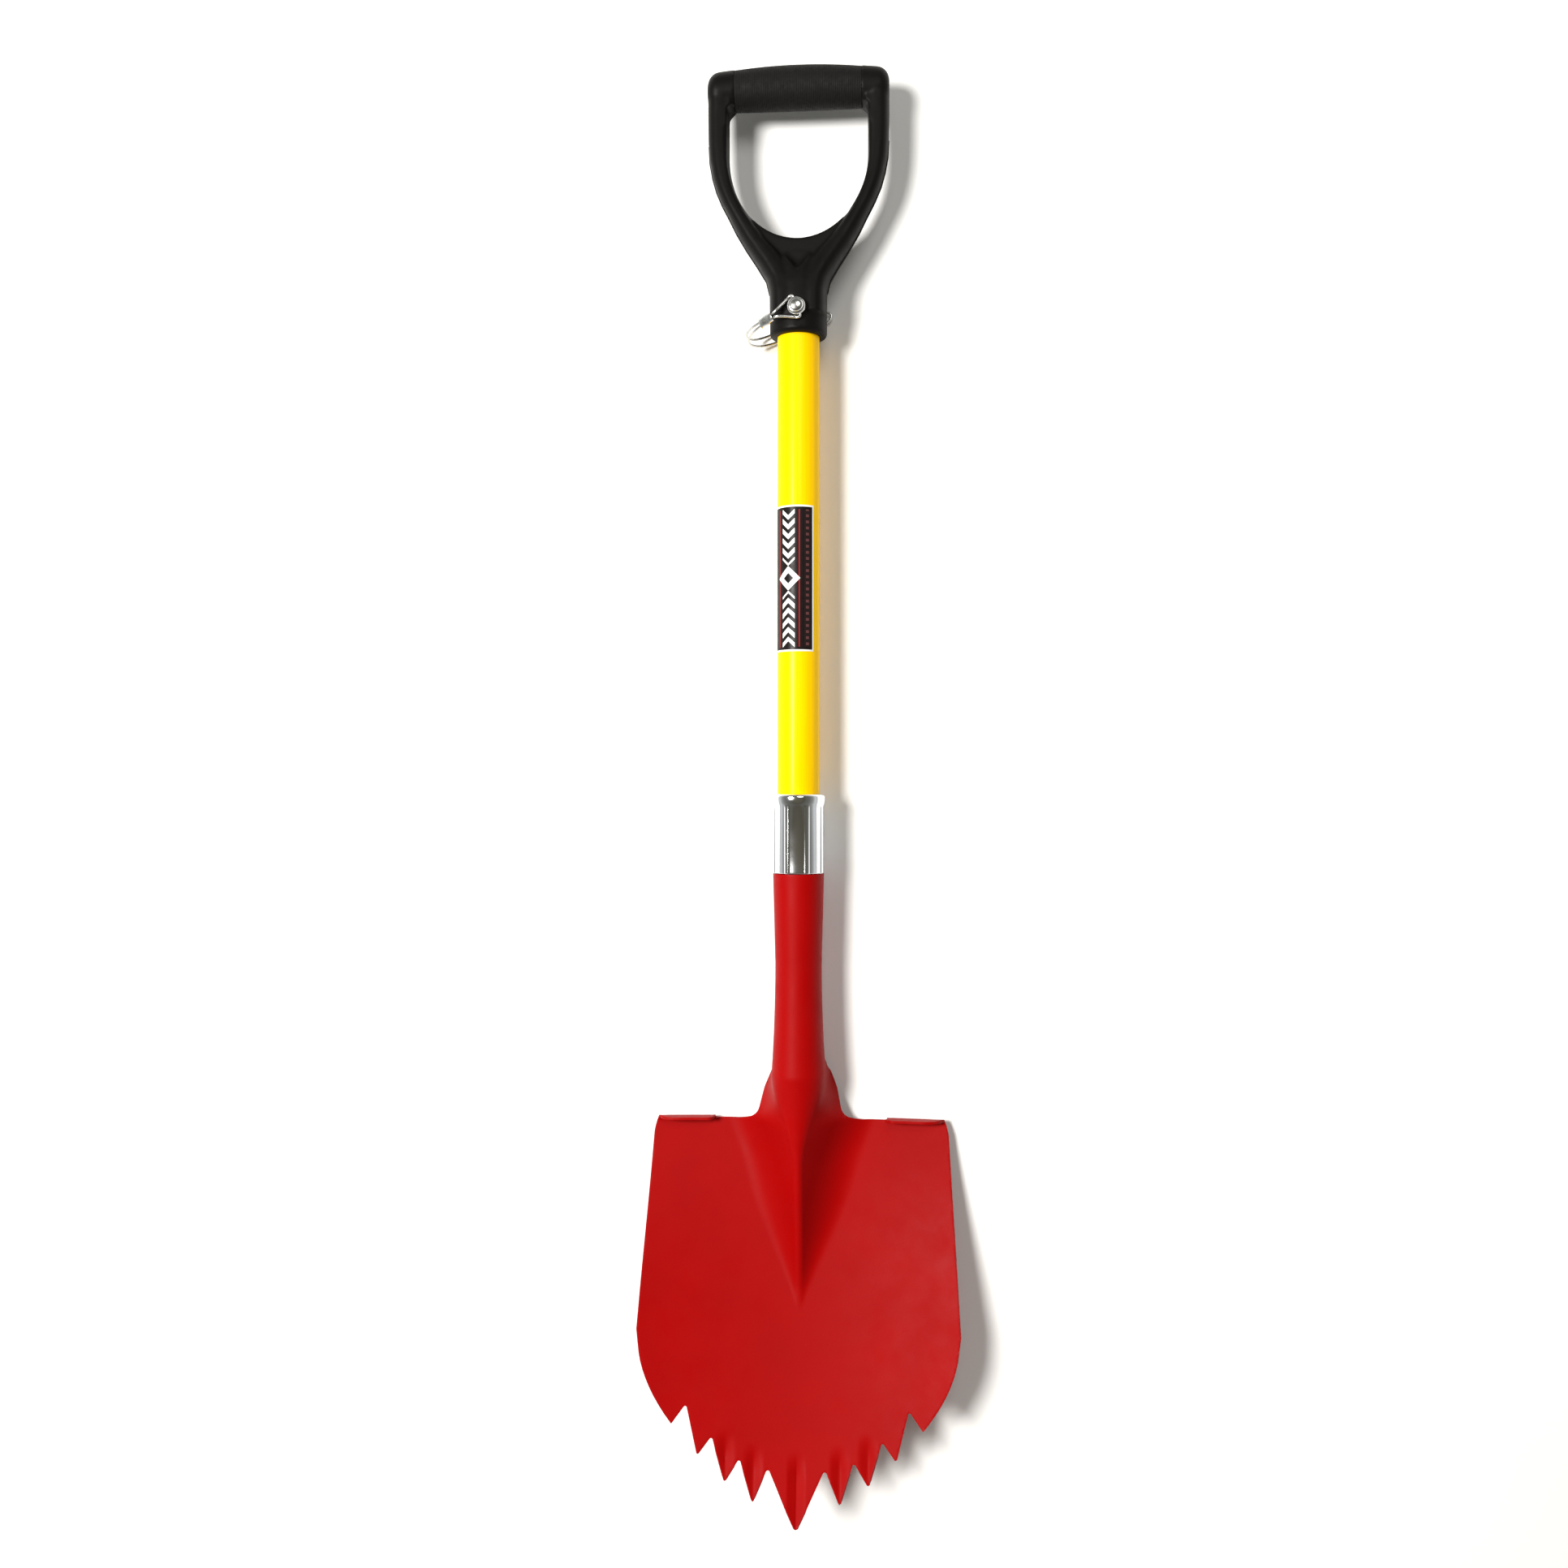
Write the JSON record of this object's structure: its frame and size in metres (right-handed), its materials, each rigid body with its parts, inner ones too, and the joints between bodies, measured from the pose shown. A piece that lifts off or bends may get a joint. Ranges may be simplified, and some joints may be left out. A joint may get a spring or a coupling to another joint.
{
  "type": "digging shovel",
  "caption": "Short round-point shovel with a toothed steel blade, rolled socket, tubular shaft and a D-grip held on by a wire lock pin.",
  "frame": {"origin": "middle of the shovel's length and width, at the surface that its back rests on", "axes": "+Y from the blade's tip towards the grip, +Z out of the scoop, +X to the right seen from the front"},
  "size_m": [0.23, 1.0292, 0.064],
  "materials": {
    "red_coat": "satin powder coat with fine grain",
    "plain_steel": "plain turned steel",
    "chrome": "bright chrome plate",
    "yellow_glass_fibre": "gloss resin over glass fibre",
    "core_wood": "plain dowel",
    "printed_film": "gloss printed film",
    "black_plastic": "satin moulded plastic with fine texture",
    "black_rubber": "finely ribbed grip",
    "zinc_plate": "bright zinc plate"
  },
  "bodies": {
    "shovel": {"blade": "red_coat", "socket_rivet_upper": "plain_steel", "socket_rivet_lower": "plain_steel", "ferrule": "chrome", "shaft_tube": "yellow_glass_fibre", "lower_core": "core_wood", "upper_core": "core_wood", "label_film": "printed_film", "handle_frame": "black_plastic", "grip_core": "plain_steel", "grip_sleeve": "black_rubber", "pin_bush_front": "zinc_plate", "pin_bush_rear": "zinc_plate"},
    "pin": {"lock_pin": "zinc_plate"},
    "bail": {"bail_wire": "zinc_plate", "bail_crimp": "zinc_plate"}
  },
  "joints": [
    {"name": "pin_turn", "type": "hinge", "parent": "shovel", "child": "pin", "pos_m": [0, 0.3366, 0.03], "axis": [0, 0, 1], "range_deg": [-42, 6]},
    {"name": "bail_swing", "type": "hinge", "parent": "pin", "child": "bail", "pos_m": [0, 0.3366, 0.05345], "axis": [-0.3584, 0.9336, 0], "range_deg": [0, 180]}
  ]
}
